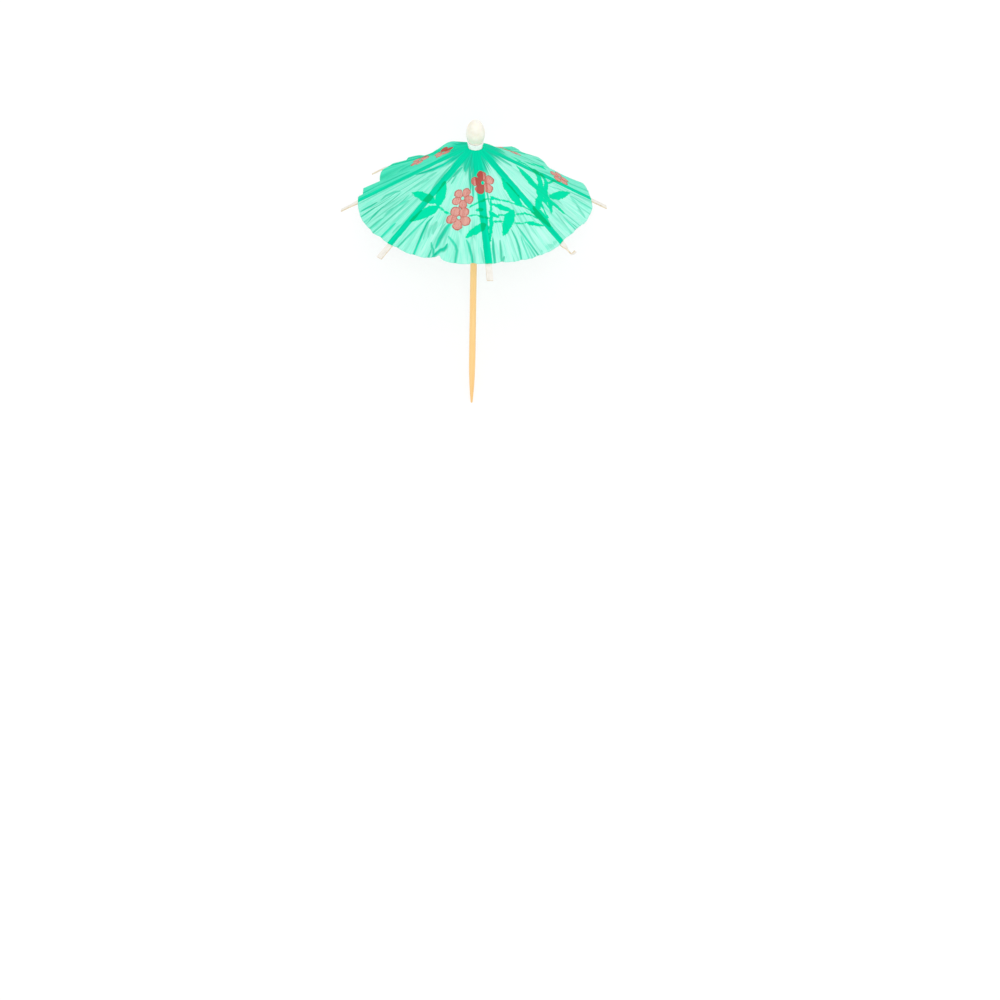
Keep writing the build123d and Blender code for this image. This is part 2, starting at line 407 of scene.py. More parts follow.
# Canopy. One round sheet of dyed tissue, printed with flower sprigs, pleated and glued on the ribs. It is
# deeper green in each fold and where folds crowd the collar, since layers lie there. Over each rib it is
# painted darker, as painted shade where the rib blocks the light through it; pale crests are painted
# highlights. It is built as the eight stretches that the ribs carry, all from one sheet, so that they
# meet without a step.
paper_thickness = 0.10
paper_peak = 92.291
paper_inner = 2.26
paper_rim = 35.8
paper_gathered = 12.0
gore_columns = 180
gore_rows = 130
# The palest colour is a painted highlight, for the crests of folds
tissue_highlight = (216, 254, 245)
tissue_pale = (190, 252, 237)
tissue_mid = (142, 246, 221)
tissue_deep = (4, 230, 188)
tissue_deepest = (0, 197, 156)
# Over each rib the tissue, and the leaves and petals printed on it, are painted darker: painted shade where
# the rib blocks the light through the glued tissue, this half width either side of the rib
tissue_rib_shade = (0, 233, 181)
rib_shade_half_width = 1.35
rib_shade_half_width_at_rim = 1.12
leaf_green = (0, 230, 175)
# Leaf print over a rib, in painted rib shade
leaf_rib_shade = (0, 197, 128)
petal_pale = (230, 178, 165)
petal_pink = (208, 126, 116)
petal_edge = (194, 84, 78)
# Petal print over a rib, in painted rib shade
petal_rib_shade = (182, 74, 68)
tissue_let_through = 0.15
tissue_gloss = 0.03
tissue_streaks = (60, 5, 1)
pleat_streaks = (15, 2, 1)
streak_turn = 45.0
fold_contrast = 0.65
ink_softness = 0.12
# How far the edge of the painted rib shade wanders
rib_shade_edge_wander = 0.3
petal_edge_wander = 0.6
# Share of layered streak inside the painted rib shade
rib_shade_streak_share = 0.5
leaf_fold_share = 0.45
petal_fold_share = 0.7
# How far the petal print takes on the painted rib shade
petal_rib_shade_share = 0.85

# Shape of the printed petals and leaves, as shares of a flower's radius or a leaf's width
petal_count = 5
petal_round = 0.43
petal_reach = 0.56
petal_length = 0.95
petal_parting = 0.45
heart_size = 0.36
bare_spot = 0.16
bare_spot_edge = 1.2
leaf_fullness = 1.9
leaf_foot_taper = 0.6
leaf_tip_taper = 0.85

# Flowers on the flat sheet: centre, outer radius and turn of the first petal, in mm and degrees
blossoms = [
    (1.1, -14.1, 4.2, 23),
    (-6.5, -18.6, 3.8, -22),
    (-8.6, -25.2, 4.4, 38),
    (-18.0, 13.0, 3.6, 40),
    (-10.3, 7.7, 3.4, 5),
    (30.6, 3.5, 3.4, 25),
    (15.2, 15.0, 3.3, 60),
    (4.6, 16.3, 3.7, 10),
    (10.3, 23.6, 3.8, 50),
    (-2.6, 24.6, 3.9, 33),
]
# Leaves on the flat sheet: tip, foot and half width, in mm
leaves = [
    (-23.2, -7.9, -15.8, -17.3, 2.3),
    (-11.6, -9.9, -15.3, -18.9, 2.7),
    (-25.6, -20.2, -14.8, -19.2, 2.9),
    (-7.5, -32.7, 0.6, -28.6, 2.2),
    (2.6, -21.4, 10.8, -23.4, 1.4),
    (6.0, -32.8, 10.9, -22.7, 2.6),
    (1.8, -24.1, 5.4, -26.3, 1.2),
    (1.3, -35.0, 2.9, -25.0, 1.2),
    (7.8, -11.5, 13.8, -20.9, 2.7),
    (2.5, -18.9, 6.6, -20.0, 0.8),
    (21.5, -26.4, 14.6, -26.7, 1.2),
    (14.2, -2.2, 21.6, -11.2, 2.4),
    (20.8, -17.8, 22.8, -8.0, 1.7),
    (23.4, -17.0, 23.4, -8.2, 1.4),
    (33.7, -3.5, 25.2, -12.1, 2.1),
    (30.4, -17.4, 25.1, -13.1, 1.5),
    (23.6, -26.4, 18.2, -19.2, 2.6),
    (24.6, -20.6, 25.0, -11.5, 1.4),
    (25.9, 4.2, 20.8, 7.4, 1.8),
    (30.6, 9.3, 25.0, 6.5, 0.9),
    (13.4, 3.8, 16.8, 3.2, 1.0),
    (8.4, 6.3, 10.9, 4.4, 0.9),
    (17.8, 4.9, 22.2, 4.6, 1.0),
    (-2.9, -23.4, 0.4, -23.5, 0.9),
    (20.5, -14.2, 21.8, -9.5, 1.3),
    (15.5, 28.4, 13.2, 20.5, 2.2),
    (2.7, 30.9, 1.3, 22.5, 2.1),
    (21.3, 22.2, 13.2, 20.0, 2.1),
    (-10.9, 30.9, -3.5, 26.6, 2.1),
    (-7.3, 18.3, -2.5, 14.1, 1.8),
]
# Stems on the flat sheet: half width and the points they pass, in mm
stems = [
    (0.42, [(-15.2, -18.4), (-14.4, -19.8), (-13.3, -21.5), (-11.8, -22.9), (-10.6, -23.4)]),
    (
        0.38,
        [(-4.6, -22.3), (-3.0, -21.6), (-0.7, -20.7), (1.4, -20.0), (3.9, -19.9), (6.8, -19.8)]
        + [(9.5, -20.0), (11.9, -20.6), (14.6, -20.7), (16.7, -21.5), (18.4, -22.7)],
    ),
    (
        0.40,
        [(5.0, -26.0), (5.5, -25.2), (7.8, -25.1), (9.6, -24.9), (11.5, -24.2), (14.7, -23.3)]
        + [(16.9, -23.5), (19.2, -23.8)],
    ),
    (0.40, [(-4.8, -25.2), (-2.4, -25.2), (0.2, -26.2), (2.6, -26.6)]),
    (0.40, [(3.9, -27.7), (6.2, -27.4), (8.4, -27.2), (11.1, -27.5), (13.8, -27.1), (15.7, -26.4)]),
    (0.45, [(3.1, -20.5), (2.9, -23.0), (2.4, -26.0), (2.2, -28.0)]),
    (1.10, [(21.6, 0.6), (22.4, -3.9), (22.4, -7.6), (21.8, -13.7), (20.4, -16.4), (19.9, -19.3)]),
    (0.78, [(23.6, -0.4), (24.7, -4.1), (24.2, -11.5), (24.6, -13.7), (26.3, -14.7)]),
    (0.60, [(21.7, -13.2), (22.7, -15.6), (23.9, -17.3)]),
    (0.50, [(20.9, -15.4), (21.6, -18.5), (23.0, -22.2)]),
    (0.48, [(25.0, -5.0), (28.1, -0.7), (30.1, 0.3)]),
    (0.60, [(15.4, 1.9), (18.0, 2.3), (19.8, 0.7), (21.6, -1.5)]),
    (0.36, [(-10.3, 7.7), (-14.0, 11.0), (-18.0, 13.0)]),
    (0.36, [(4.6, 16.3), (8.2, 18.7), (13.2, 20.0)]),
    (0.36, [(-2.6, 24.6), (1.3, 22.5), (4.7, 20.8), (10.3, 23.6)]),
]
# Sharp folds, which show as dark strokes, or below zero as pale strokes of painted highlight:
# half width, depth of colour, rise, and the points they pass, in mm
folds = [
    (0.75, 0.55, 0.30, [(-26.7, -4.1), (-29.0, -2.8), (-31.7, -2.2), (-33.6, -3.2)]),
    (0.60, 0.85, 0.30, [(-34.7, -3.0), (-37.2, -3.3), (-40.8, -3.0)]),
    (0.50, 0.80, 0.25, [(-35.3, -5.3), (-37.6, -5.7), (-40.9, -6.5)]),
    (0.50, 0.55, 0.30, [(-26.6, -4.9), (-29.9, -6.8), (-33.1, -7.9), (-36.2, -9.8), (-39.6, -12.2)]),
    (0.55, 0.85, 0.30, [(-32.9, -7.9), (-35.5, -9.3), (-38.2, -11.2)]),
    (0.45, 0.45, 0.20, [(-24.0, -8.5), (-26.7, -10.5), (-29.0, -11.7)]),
    (0.75, 0.45, 0.30, [(-24.3, -11.3), (-27.7, -11.4), (-29.9, -11.6), (-32.6, -11.6)]),
    (0.80, 0.50, 0.35, [(-29.5, -11.7), (-31.4, -12.5), (-33.7, -13.7)]),
    (0.95, 0.60, 0.35, [(-33.3, -13.7), (-35.1, -14.3), (-39.3, -16.2)]),
    (0.40, 0.35, 0.20, [(-27.3, -16.6), (-30.4, -18.2), (-32.3, -19.4)]),
    (0.55, 0.85, 0.30, [(-29.8, -18.6), (-32.6, -20.3), (-36.9, -23.0)]),
    (0.38, 0.50, 0.20, [(-28.3, -19.8), (-31.5, -22.1)]),
    (1.00, 1.00, 0.35, [(-20.8, 0.9), (-17.6, -1.0), (-14.9, -2.1), (-11.7, -2.6), (-7.0, -2.0)]),
    (0.70, 0.32, 0.15, [(-16.7, -5.8), (-19.9, -5.7), (-22.5, -6.1)]),
    (0.70, 0.32, 0.15, [(-14.0, -4.4), (-17.7, -5.0)]),
    (0.60, 0.55, 0.25, [(-16.6, -11.4), (-14.0, -8.8), (-11.4, -6.6), (-9.1, -4.7)]),
    (0.45, 0.70, 0.30, [(-18.7, -21.5), (-21.3, -23.1), (-26.1, -26.1), (-32.5, -30.2)]),
    (0.55, 0.95, 0.40, [(-17.0, -22.0), (-19.4, -23.7), (-21.5, -26.9), (-23.6, -30.5), (-27.0, -36.4)]),
    (0.38, 0.40, 0.20, [(-18.7, -23.3), (-20.1, -26.2), (-21.5, -29.3)]),
    (0.50, 0.35, 0.20, [(-17.8, -25.1), (-19.1, -27.1), (-19.8, -29.3)]),
    (0.95, 0.30, 0.25, [(-16.1, -24.3), (-17.2, -26.1), (-17.9, -28.9)]),
    (0.95, 0.90, 0.50, [(-11.2, -26.3), (-12.8, -28.0), (-14.3, -29.7), (-15.8, -31.4), (-17.6, -34.4)]),
    (0.45, 0.85, 0.35, [(-18.9, -31.3), (-18.8, -33.3), (-18.4, -34.8), (-18.8, -38.2)]),
    (0.45, 0.85, 0.35, [(-19.0, -34.1), (-19.6, -35.5), (-21.6, -38.6)]),
    (0.72, 0.95, 0.55, [(-13.4, -33.6), (-14.1, -35.0), (-15.0, -35.8), (-16.1, -35.8), (-19.6, -37.7)]),
    (0.55, 0.80, 0.45, [(-13.0, -30.9), (-11.8, -32.9), (-10.7, -35.0), (-10.5, -36.6), (-12.1, -42.5)]),
    (0.50, 0.85, 0.40, [(-6.9, -33.2), (-6.3, -35.1), (-5.9, -37.5), (-5.6, -39.5), (-5.5, -44.0)]),
    (0.38, 0.30, 0.20, [(-2.3, -36.5), (-2.0, -38.5), (-1.5, -42.5)]),
    (0.36, 0.40, 0.20, [(-13.3, -26.3), (-14.2, -27.1), (-15.4, -28.5)]),
    (0.75, 0.80, 0.30, [(-8.9, -10.0), (-7.2, -8.7), (-5.3, -7.4)]),
    (0.38, 0.60, 0.20, [(-9.9, -12.4), (-7.7, -9.9)]),
    (0.48, 0.60, 0.20, [(-11.1, -11.3), (-9.6, -9.9), (-7.6, -7.9)]),
    (0.60, 0.85, 0.25, [(-2.9, -6.5), (-3.1, -11.6), (-3.5, -16.5)]),
    (0.48, 0.80, 0.25, [(-1.9, -8.0), (-2.3, -13.2), (-2.9, -19.6)]),
    (1.20, 0.90, 0.20, [(-3.2, -3.0), (-4.6, -9.5)]),
    (0.80, 0.80, 0.20, [(-1.5, -3.0), (-1.9, -12.0)]),
    (0.90, 0.60, 0.20, [(4.5, -1.8), (12.5, -4.2)]),
    (1.00, 0.50, 0.20, [(6.5, -9.0), (10.5, -13.5)]),
    (0.40, 0.80, 0.25, [(2.6, -4.2), (2.2, -10.6), (2.2, -17.7), (2.4, -21.6)]),
    (0.55, 0.85, 0.35, [(2.4, -33.4), (2.1, -37.1), (2.1, -40.0), (2.1, -44.5)]),
    (0.45, 0.70, 0.30, [(4.8, -34.0), (4.7, -37.9), (4.4, -44.0)]),
    (0.45, 0.60, 0.25, [(5.8, -39.8), (4.2, -43.0)]),
    (0.45, 0.80, 0.35, [(9.2, -29.9), (10.6, -33.5), (11.2, -36.0), (11.9, -43.5)]),
    (0.32, 0.50, 0.25, [(12.4, -31.7), (12.9, -35.1), (14.9, -41.6)]),
    (0.45, 0.80, 0.30, [(11.2, -28.2), (14.1, -32.6), (15.8, -35.1), (19.3, -40.0)]),
    (0.32, 0.60, 0.25, [(13.5, -33.6), (15.4, -36.3), (17.6, -40.0)]),
    (0.95, 0.18, 0.30, [(25.0, -31.3), (22.4, -34.0), (18.9, -36.7)]),
    (0.45, 0.60, 0.30, [(29.0, -19.0), (31.4, -21.9), (35.2, -25.7)]),
    (0.45, 0.60, 0.30, [(32.0, -20.4), (36.9, -23.8)]),
    (0.48, 0.50, 0.25, [(33.0, -5.9), (36.4, -6.9), (42.0, -7.8)]),
    (0.38, 0.35, 0.20, [(25.8, -5.9), (29.8, -5.1), (33.2, -5.1)]),
    (0.52, 0.45, 0.25, [(33.6, -3.7), (38.1, -3.1), (43.4, -2.8)]),
    (0.80, 0.30, 0.30, [(33.2, -6.1), (38.7, -12.8)]),
    (0.50, 0.30, 0.25, [(26.1, -18.3), (31.4, -27.0)]),
    (0.85, 0.70, 0.30, [(-39.6, 13.0), (-33.6, 9.9), (-30.4, 7.9), (-22.5, 6.1)]),
    (0.65, 0.60, 0.25, [(-26.0, 17.0), (-19.9, 12.5)]),
    (0.75, 0.50, 0.25, [(-30.2, 18.1), (-26.4, 14.0), (-20.9, 11.2)]),
    (0.40, -0.40, 0.00, [(2.1, -14.0), (1.9, -22.0), (1.7, -30.0), (1.6, -41.0)]),
    (0.50, -0.35, 0.00, [(5.5, -3.7), (17.3, -17.3)]),
    (0.50, -0.25, 0.00, [(-21.0, -3.5), (-40.0, -4.6)]),
    (0.55, -0.25, 0.00, [(-24.0, -6.6), (-40.0, -8.6)]),
    (0.60, -0.25, 0.00, [(-24.5, -13.3), (-38.5, -18.8)]),
    (0.80, -0.30, 0.00, [(-14.5, -26.0), (-24.5, -35.6)]),
    (0.80, -0.30, 0.00, [(-9.0, -30.0), (-8.0, -43.0)]),
    (0.60, -0.30, 0.00, [(-4.3, -33.0), (-3.5, -44.0)]),
    (0.90, -0.30, 0.00, [(7.4, -32.0), (8.2, -43.0)]),
    (1.60, -0.35, 0.00, [(18.5, -28.0), (23.5, -33.0)]),
    (1.10, -0.30, 0.00, [(16.0, -29.5), (22.5, -38.5)]),
    (0.90, -0.25, 0.00, [(30.0, -11.5), (39.5, -18.5)]),
    (0.80, -0.25, 0.00, [(29.0, -7.6), (42.0, -11.6)]),
]
# Places where the bunched sheet stands up or is dented:
# angle round the stick, radius, rise and spread, in mm
bumps = [
    (13, 24.0, 0.9, 5.0),
    (118, 14.0, 2.1, 4.4),
    (104, 9.5, 0.7, 4.0),
    (60, 8.0, 0.6, 4.0),
    (119.5, 23.0, -1.7, 4.4),
]
# Crests and hollows of the rim between the ribs: angle round the stick and drop below the plain cone, in mm
rim_drops = [
    (-78, 0.3),
    (-62, 0.4),
    (-36, 0.2),
    (-20, 1.8),
    (-9, 0.1),
    (13, -0.2),
    (30, 3.0),
    (44, 1.2),
    (64, -1.2),
    (80, 1.8),
    (103, 0.0),
    (112, 3.0),
    (119.5, 0.2),
    (128, 3.0),
    (146, 4.0),
    (158.5, 0.5),
    (164, 1.4),
    (190, 0.2),
    (204, -0.3),
    (232, 0.6),
    (246, -0.4),
    (254, 0.6),
]
# What each bay, from one rib to the next, shows:
# how many fine folds, their strength, and how deep a green the whole bay is painted
bays = [
    (7, 0.32, 0.0),
    (9, 0.42, 0.0),
    (10, 0.70, 0.40),
    (9, 0.80, 0.55),
    (9, 0.80, 0.72),
    (7, 0.60, 0.76),
    (10, 0.62, 0.20),
    (8, 0.42, 0.10),
]
rim_unevenness = 0.30
rim_shift = 0.8
rim_shift_angle = -85.0
# Dips of the cut edge: angle round the stick, depth in mm and spread in degrees
rim_notches = [(246, 0.9, 1.3), (-46, 1.1, 6.0), (-33, 1.4, 10.0), (136, 2.2, 7.0), (52, 1.5, 9.0)]
# Fine folds: how far they keep off the ribs, how soon they rise and fade, how wide their foot and line are
fold_rib_margin = 2.5
fold_rise_run = 0.35
fold_fade_run = 0.15
fold_foot = 0.9
fine_line_fullness = 1.25
sharp_line_fullness = 1.35
# Painted highlights go only where the fold depth is below this
highlight_limit = 0.3
# The gathered middle, deep green from its layers, reaches further out at one place
gather_angle = 268
gather_reach = 4.5
gather_spread = 20
gathered_dye = 0.95
gathered_ease = 3.6
# Where the sheet comes free of a rib, and of the stretcher below it when shut, in mm from the rib's middle
held_half_width = 1.2
held_ease = 2.4
stretcher_half_room = 1.8
stretcher_ease = 5.0
# The hollows deepen towards the rim, and a stretch beside one closes up narrower, to clear the stretchers
hollow_curve = 1.7
sheet_seed = 8


def eased(value):
    """0 below 0, 1 above 1, and smooth between."""
    value = np.clip(value, 0.0, 1.0)
    return value * value * (3 - 2 * value)


def stroke(x, y, points):
    """How far each place is from a line through these points, and how full the line is, less at its ends."""
    nearest = np.full(x.shape, 1e9)
    along = np.zeros(x.shape)
    done = 0.0
    for (ax, ay), (bx, by) in zip(points[:-1], points[1:]):
        span = np.hypot(bx - ax, by - ay)
        share = np.clip(((x - ax) * (bx - ax) + (y - ay) * (by - ay)) / span**2, 0, 1)
        apart = np.hypot(x - ax - share * (bx - ax), y - ay - share * (by - ay))
        along = np.where(apart < nearest, done + share * span, along)
        nearest = np.minimum(nearest, apart)
        done += span
    share = along / done
    return nearest, np.sqrt(np.maximum(4 * share * (1 - share), 0.02))


def blossom_depth(x, y, middle_x, middle_y, radius, turn):
    """How far inside a five-petal flower each place is, with parted petals and a bare spot at its middle."""
    petals = []
    for petal in range(petal_count):
        way = radians(turn + 360 / petal_count * petal)
        along = (x - middle_x) * cos(way) + (y - middle_y) * sin(way)
        across = (y - middle_y) * cos(way) - (x - middle_x) * sin(way)
        from_petal = np.hypot((along - petal_reach * radius) * petal_length, across)
        petals.append(petal_round * radius - from_petal)
    petals = np.sort(petals, axis=0)
    depth = petals[-1] - petal_parting * np.maximum(0, 1 - (petals[-1] - petals[-2]) / petal_parting)
    from_middle = np.hypot(x - middle_x, y - middle_y)
    depth = np.maximum(depth, heart_size * radius - from_middle)
    return np.minimum(depth, bare_spot_edge * from_middle - bare_spot * radius)


def leaf_depth(x, y, tip_x, tip_y, foot_x, foot_y, half_width):
    """How far inside a pointed leaf each place is."""
    length = np.hypot(tip_x - foot_x, tip_y - foot_y)
    way_x = (tip_x - foot_x) / length
    way_y = (tip_y - foot_y) / length
    along = ((x - foot_x) * way_x + (y - foot_y) * way_y) / length
    across = (y - foot_y) * way_x - (x - foot_x) * way_y
    inside = np.clip(along, 0, 1)
    width = half_width * leaf_fullness * inside**leaf_foot_taper * (1 - inside) ** leaf_tip_taper
    beyond = length * np.maximum(np.maximum(-along, along - 1), 0)
    return width - np.hypot(across, beyond)


class TissueSheet:
    """The one sheet that all eight stretches are taken from: its folds, rise, dye depth and print."""

    def __init__(self):
        chance = np.random.default_rng(sheet_seed)
        self.fine = []
        for bay, (count, strength, _) in enumerate(bays):
            first = rib_angles[bay]
            width = np.mod(rib_angles[(bay + 1) % rib_count] - first, 360)
            spots = (np.arange(count) + chance.uniform(0.05, 0.95, count)) / count
            for spot in spots:
                self.fine.append(
                    {
                        "angle": first + fold_rib_margin + (width - 2 * fold_rib_margin) * spot,
                        "start": chance.uniform(0.25, 0.75),
                        "end": chance.uniform(0.85, 1.4),
                        "rise": strength * chance.uniform(0.10, 0.45) * chance.choice([-1, 1, 1]),
                        "spread": chance.uniform(0.9, 2.2),
                        "dye": strength * chance.uniform(0.25, 0.90),
                        "line": chance.uniform(0.25, 0.60),
                        "lap": chance.uniform(0.8, 2.6) * chance.choice([-1, 1]),
                        "lap_dye": strength * chance.uniform(-0.10, 0.24),
                        "lean": chance.uniform(-2.5, 2.5),
                    }
                )
        degree = np.arange(360)
        self.gather_edge = chance.uniform(5.0, 8.5, 360) + 2.0 * (1 + np.sin(np.radians(degree)))
        self.gather_edge += gather_reach * np.exp(-(((degree - gather_angle) / gather_spread) ** 2))
        self.rim_jog = np.convolve(chance.uniform(-1, 1, 366), np.ones(7) / 7, "valid")
        crests = sorted(rim_drops + [(rib, 0.0) for rib in rib_angles])
        self.crest_angles = np.array([at for at, _ in crests])
        self.crest_drops = np.array([drop for _, drop in crests])

    def rim(self, angle):
        """Where the sheet's cut edge is, a little off centre and uneven, with its notches."""
        turn = np.mod(angle, 360)
        jog = np.interp(turn, np.arange(361), np.append(self.rim_jog[:360], self.rim_jog[0]))
        shift = rim_shift * np.cos(np.radians(angle - rim_shift_angle))
        edge = paper_rim + rim_unevenness * jog + shift
        for notch_angle, depth, spread in rim_notches:
            apart = np.mod(angle + 180 - notch_angle, 360) - 180
            edge = edge - depth * np.exp(-((apart / spread) ** 2))
        return edge

    def off_rib(self, angle, radius):
        """How far each place is from the middle of the nearest rib, in mm."""
        nearest = np.full(angle.shape, 180.0)
        for rib in rib_angles:
            nearest = np.minimum(nearest, np.abs(np.mod(angle - rib + 180, 360) - 180))
        return radius * np.sin(np.radians(nearest))

    def bay_depth(self, angle, radius):
        """Depth of colour of the bay that each place is in."""
        shares = np.zeros(angle.shape)
        for bay, (_, _, depth) in enumerate(bays):
            after = np.mod(angle - rib_angles[bay], 360)
            width = np.mod(rib_angles[(bay + 1) % rib_count] - rib_angles[bay], 360)
            shares = np.where(after < width, depth, shares)
        return shares

    def free(self, angle, radius):
        """0 where a rib holds the sheet and 1 clear of it."""
        return eased((self.off_rib(angle, radius) - held_half_width) / held_ease)

    def hang(self, angle, radius):
        """How far the sheet hangs below the plain cone, in crests and hollows outside its middle."""
        drop = np.interp(angle, self.crest_angles, self.crest_drops, period=360)
        ramp = np.maximum(radius - paper_gathered, 0) / (paper_rim - paper_gathered)
        clear_of_stretcher = eased((self.off_rib(angle, radius) - stretcher_half_room) / stretcher_ease)
        return drop * ramp**hollow_curve * clear_of_stretcher

    def rise(self, angle, radius):
        """How far its small folds stand above that."""
        out = radius / paper_rim
        total = np.zeros(angle.shape)
        for fold in self.fine:
            apart = np.mod(angle - fold["angle"] - fold["lean"] * (1 - out) + 180, 360) - 180
            tent = np.maximum(0, 1 - np.abs(apart) / fold["spread"])
            total = total + fold["rise"] * tent * out * eased((out - fold["start"]) / fold_rise_run)
        x, y = self.flat(angle, radius)
        for half_width, _, height, points in folds:
            apart, full = stroke(x, y, points)
            total = total + height * full * np.maximum(0, 1 - apart / (half_width + fold_foot))
        free = self.free(angle, radius)
        total = total * free
        for bump_angle, bump_radius, height, spread in bumps:
            bump_x, bump_y = self.flat(np.float64(bump_angle), bump_radius)
            bump = height * np.exp(-((x - bump_x) ** 2 + (y - bump_y) ** 2) / spread**2)
            total = total + (bump if height > 0 else bump * free)
        return total

    def flat(self, angle, radius):
        """The same place on the sheet before it was pleated."""
        reach = radius / cos(radians(rib_slope))
        return reach * np.cos(np.radians(angle)), reach * np.sin(np.radians(angle))

    def dye(self, angle, radius):
        """Depth of colour from folded layers, up to 1, and below 0 where a crest has a painted highlight."""
        out = radius / paper_rim
        turn = np.mod(angle, 360)
        edge = np.interp(turn, np.arange(361), np.append(self.gather_edge, self.gather_edge[0]))
        depth = gathered_dye * eased((edge + gathered_ease / 2 - radius) / gathered_ease)
        for fold in self.fine:
            apart = np.mod(angle - fold["angle"] - fold["lean"] * (1 - out) + 180, 360) - 180
            apart = np.radians(apart) * radius
            begun = eased((out - fold["start"]) / fold_fade_run)
            seen = begun * eased((fold["end"] - out) / fold_fade_run)
            share = np.clip((out - fold["start"]) / (fold["end"] - fold["start"]), 0, 1)
            full = np.sqrt(np.maximum(4 * share * (1 - share), 0.02))
            line = fold["dye"] * eased(fine_line_fullness - np.abs(apart) / (fold["line"] * full))
            beside = np.sign(fold["lap"]) * apart / abs(fold["lap"])
            lap = fold["lap_dye"] * (beside > 0) * eased(1 - beside)
            depth = np.maximum(depth + seen * lap, seen * line)
        x, y = self.flat(angle, radius)
        for half_width, strength, _, points in folds:
            apart, full = stroke(x, y, points)
            core = strength * eased(sharp_line_fullness - apart / (half_width * full))
            if strength > 0:
                depth = np.maximum(depth, core)
            else:
                depth = np.where(depth < highlight_limit, depth + core, depth)
        return np.clip(depth, -1.0, 1.0)

    def rib_shade_band(self, angle, radius):
        """How far inside the band of painted rib shade each place is, in mm: the stretch glued on a rib."""
        half = rib_shade_half_width + (rib_shade_half_width_at_rim - rib_shade_half_width) * radius / paper_rim
        return half - self.off_rib(angle, radius)

    def petal_ink(self, angle, radius):
        """How far inside the pink print each place is, in mm."""
        x, y = self.flat(angle, radius)
        depth = np.full(x.shape, -5.0)
        for blossom in blossoms:
            depth = np.maximum(depth, blossom_depth(x, y, *blossom))
        return depth

    def leaf_ink(self, angle, radius):
        """How far inside the green print each place is, in mm."""
        x, y = self.flat(angle, radius)
        depth = np.full(x.shape, -5.0)
        for leaf in leaves:
            depth = np.maximum(depth, leaf_depth(x, y, *leaf))
        for half_width, points in stems:
            depth = np.maximum(depth, half_width - stroke(x, y, points)[0])
        return depth


def make_tissue():
    """Thin dyed tissue that lets light through, with the print, the shades of its folds, painted shade over
    the ribs and painted highlights on crests.
    """
    finish, tree, shader = start_finish("canopy_tissue", 0.8)
    shader.inputs["Specular IOR Level"].default_value = tissue_gloss
    sheet_place = put(tree, "ShaderNodeUVMap", uv_map="flat_sheet").outputs["UV"]

    def painted(name):
        return put(tree, "ShaderNodeAttribute", attribute_name=name).outputs["Fac"]

    def streaks(fineness, detail, roughness):
        drawn_out = put(tree, "ShaderNodeMapping", {"Vector": sheet_place, "Scale": fineness})
        return noise(tree, drawn_out.outputs["Vector"], 1.0, detail, roughness)

    cloud, relief = fibre(tree, object_place(tree), 3000)
    streak = streaks(tissue_streaks, 4.0, 0.62)
    cloudy = combine(tree, "MULTIPLY", combine(tree, "SUBTRACT", cloud, 0.5), 1.5)
    matted = combine(tree, "MULTIPLY", combine(tree, "SUBTRACT", relief, 0.65), 0.7)
    ragged = combine(tree, "ADD", cloudy, matted)
    paper = mixed(tree, between(tree, streak, 0.34, 0.70), tissue_pale, tissue_mid)
    paper = mixed(tree, painted("bay_depth"), paper, tissue_deep)
    fold = painted("dye")
    # Below zero the fold depth is a painted highlight on a crest, mixed towards the highlight colour
    lit_crest = combine(tree, "MAXIMUM", combine(tree, "MULTIPLY", fold, -1.0), 0.0)
    paper = mixed(tree, lit_crest, paper, tissue_highlight)
    fold = combine(tree, "POWER", combine(tree, "MAXIMUM", fold, 0.0), fold_contrast)
    layered_streak = between(tree, streaks(pleat_streaks, 3.0, 0.6), 0.32, 0.62)
    paper = mixed(tree, fold, paper, mixed(tree, layered_streak, tissue_deep, tissue_deepest))
    # Over each rib the colour is painted darker: painted shade where the rib blocks the light through the
    # tissue, streaked like its layers
    rib_shade_edge = combine(tree, "ADD", painted("rib_shade_band"), combine(tree, "MULTIPLY", ragged, rib_shade_edge_wander))
    rib = between(tree, rib_shade_edge, -ink_softness, ink_softness)
    glued = combine(tree, "MULTIPLY", layered_streak, rib_shade_streak_share)
    paper = mixed(tree, rib, paper, mixed(tree, glued, tissue_rib_shade, tissue_deepest))
    leaf_edge = combine(tree, "ADD", painted("leaf_ink"), ragged)
    leaf = between(tree, leaf_edge, -ink_softness, ink_softness)
    # Leaves are darker over a rib, in painted rib shade, and in a fold, where layers lie
    under = combine(tree, "MAXIMUM", rib, combine(tree, "MULTIPLY", fold, leaf_fold_share))
    paper = mixed(tree, leaf, paper, mixed(tree, under, leaf_green, leaf_rib_shade))
    inside = combine(tree, "ADD", painted("petal_ink"), combine(tree, "MULTIPLY", ragged, petal_edge_wander))
    petal = between(tree, inside, -ink_softness, ink_softness)
    mottle = combine(tree, "ADD", relief, streak)
    pink = mixed(tree, between(tree, mottle, 0.98, 1.32), petal_pale, petal_pink)
    edge = between(tree, inside, 0.15, 0.50, 0.9, 0.0)
    deeper = combine(tree, "MAXIMUM", edge, combine(tree, "MULTIPLY", fold, petal_fold_share))
    pink = mixed(tree, deeper, pink, petal_edge)
    # Petals are darker over a rib, in painted rib shade
    pink = mixed(tree, combine(tree, "MULTIPLY", rib, petal_rib_shade_share), pink, petal_rib_shade)
    paper = mixed(tree, petal, paper, pink)
    tree.links.new(paper, shader.inputs["Base Color"])
    tree.links.new(between(tree, cloud, 0.3, 0.7, 0.72, 0.88), shader.inputs["Roughness"])
    roughen(tree, shader, mottle, 0.05 * mm, 0.5)
    through = put(tree, "ShaderNodeBsdfTranslucent", {"Color": paper})
    layered = put(
        tree,
        "ShaderNodeMixShader",
        {0: tissue_let_through, 1: shader.outputs["BSDF"], 2: through.outputs["BSDF"]},
    )
    tree.links.new(layered.outputs["Shader"], tree.nodes["Material Output"].inputs["Surface"])
    return finish


sheet = TissueSheet()
tissue = make_tissue()


